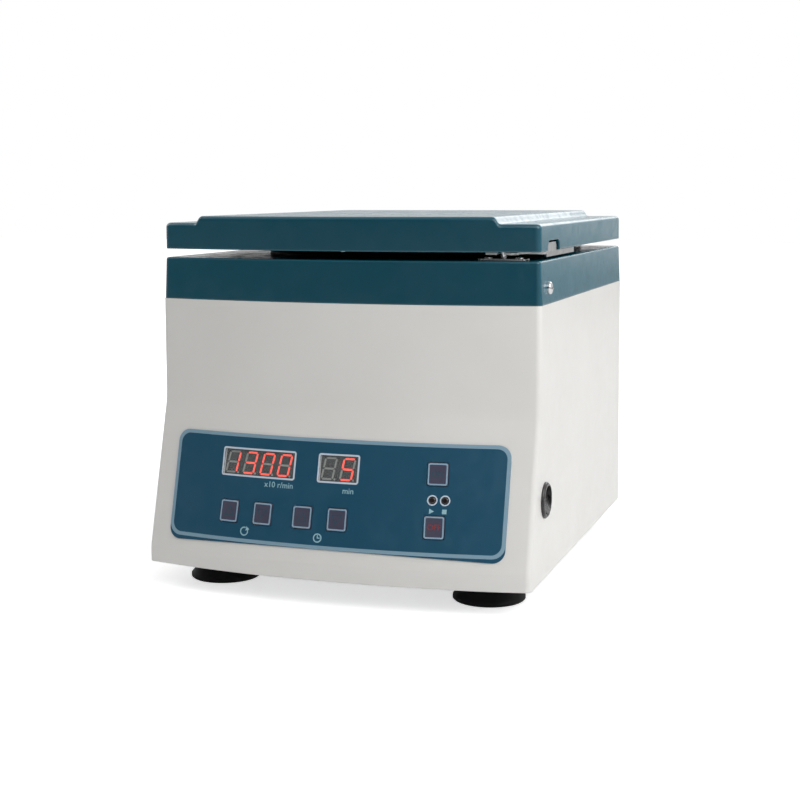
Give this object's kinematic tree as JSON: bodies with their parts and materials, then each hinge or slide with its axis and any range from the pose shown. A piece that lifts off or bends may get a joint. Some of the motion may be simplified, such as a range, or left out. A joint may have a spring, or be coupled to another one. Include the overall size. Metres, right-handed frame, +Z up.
{
  "type": "high-speed centrifuge",
  "caption": "Bench centrifuge with a hinged lid over a round steel chamber, an angle rotor for sample tubes and a slanted front control panel.",
  "frame": {"origin": "middle of the bounding box at the level the feet stand on", "axes": "+X to the machine's right, +Y to its back, +Z up"},
  "size_m": [0.2651, 0.3132, 0.2448],
  "materials": {
    "white_moulding": "fine texture",
    "teal_moulding": "satin",
    "black_plastic": "satin",
    "liner_plastic": "matt",
    "black_rubber": "matt",
    "panel_film": "printed film",
    "key_film": "embossed film",
    "display_face": "printed face",
    "display_window": "clear",
    "lamp_lens": "moulded lens",
    "stainless": "brushed",
    "bright_steel": "polished",
    "zinc_steel": "zinc plated",
    "rotor_aluminium": "anodised",
    "motor_casting": "painted casting",
    "winding": "varnished copper",
    "circuit_board": "solder resist",
    "pin_brass": "plated"
  },
  "bodies": {
    "housing": {"housing_shell": "white_moulding", "deck_collar": "teal_moulding", "power_switch_body": "black_plastic", "power_inlet": "black_plastic", "fuse_holder": "black_plastic", "capacitors": "black_plastic", "key_switches": "black_plastic", "foot_front_left": "black_rubber", "foot_front_right": "black_rubber", "foot_rear_left": "black_rubber", "foot_rear_right": "black_rubber", "chamber_seal": "black_rubber", "shaft_boot": "black_rubber", "motor_dampers": "black_rubber", "panel_overlay": "panel_film", "speed_display": "display_face", "time_display": "display_face", "display_windows": "display_window", "status_lamps": "lamp_lens", "chamber_bowl": "stainless", "stud_plate": "stainless", "deck_hinges": "stainless", "lock_stud": "bright_steel", "hinge_pins": "bright_steel", "collar_screws": "bright_steel", "deck_screws": "bright_steel", "bowl_screws": "bright_steel", "base_screws": "zinc_steel", "foot_screws": "zinc_steel", "inlet_screws": "zinc_steel", "board_screws": "zinc_steel", "motor_bolts": "zinc_steel", "motor_mount_plate": "zinc_steel", "base_plate": "zinc_steel", "motor_bearings": "zinc_steel", "heat_sink": "rotor_aluminium", "motor_housing": "motor_casting", "motor_end_cap": "motor_casting", "motor_stator": "winding", "control_board": "circuit_board", "driver_board": "circuit_board", "inlet_pins": "pin_brass"},
    "lid": {"lid_shell": "teal_moulding", "lid_liner": "liner_plastic", "liner_screws": "bright_steel", "lid_hinges": "stainless", "lid_hinge_screws": "bright_steel", "latch_guides": "bright_steel"},
    "latch": {"latch_plate": "stainless"},
    "rotor": {"motor_shaft": "bright_steel", "motor_armature": "winding", "rotor_head": "rotor_aluminium", "rotor_nut": "rotor_aluminium"},
    "power_rocker": {"power_rocker": "black_plastic"},
    "key_speed_up": {"key_speed_up": "key_film"},
    "key_speed_down": {"key_speed_down": "key_film"},
    "key_time_up": {"key_time_up": "key_film"},
    "key_time_down": {"key_time_down": "key_film"},
    "key_on": {"key_on": "key_film"},
    "key_off": {"key_off": "key_film"}
  },
  "joints": [
    {"name": "lid_hinge", "type": "hinge", "parent": "housing", "child": "lid", "pos_m": [0, 0.15065, 0.2201], "axis": [-1, 0, 0], "range_deg": [0, 100]},
    {"name": "latch_slide", "type": "slide", "parent": "lid", "child": "latch", "axis": [0, 1, 0], "range_m": [0, 0.004]},
    {"name": "rotor_spin", "type": "hinge", "parent": "housing", "child": "rotor", "pos_m": [0, 0.01455, 0.131], "axis": [0, 0, 1], "continuous": true},
    {"name": "power_switch_rock", "type": "hinge", "parent": "housing", "child": "power_rocker", "pos_m": [0.129, -0.105, 0.0665], "axis": [0, 1, 0], "range_deg": [0, 22]},
    {"name": "key_speed_up_press", "type": "slide", "parent": "housing", "child": "key_speed_up", "axis": [0.1084, 0.96, -0.258], "range_m": [0, 0.0005], "stiffness_N_per_m": 1200},
    {"name": "key_speed_down_press", "type": "slide", "parent": "housing", "child": "key_speed_down", "axis": [0.0705, 0.9633, -0.2589], "range_m": [0, 0.0005], "stiffness_N_per_m": 1200},
    {"name": "key_time_up_press", "type": "slide", "parent": "housing", "child": "key_time_up", "axis": [0.0268, 0.9654, -0.2594], "range_m": [0, 0.0005], "stiffness_N_per_m": 1200},
    {"name": "key_time_down_press", "type": "slide", "parent": "housing", "child": "key_time_down", "axis": [-0.0103, 0.9657, -0.2595], "range_m": [0, 0.0005], "stiffness_N_per_m": 1200},
    {"name": "key_on_press", "type": "slide", "parent": "housing", "child": "key_on", "axis": [-0.1083, 0.9601, -0.258], "range_m": [0, 0.0005], "stiffness_N_per_m": 1200},
    {"name": "key_off_press", "type": "slide", "parent": "housing", "child": "key_off", "axis": [-0.1083, 0.9601, -0.258], "range_m": [0, 0.0005], "stiffness_N_per_m": 1200}
  ]
}
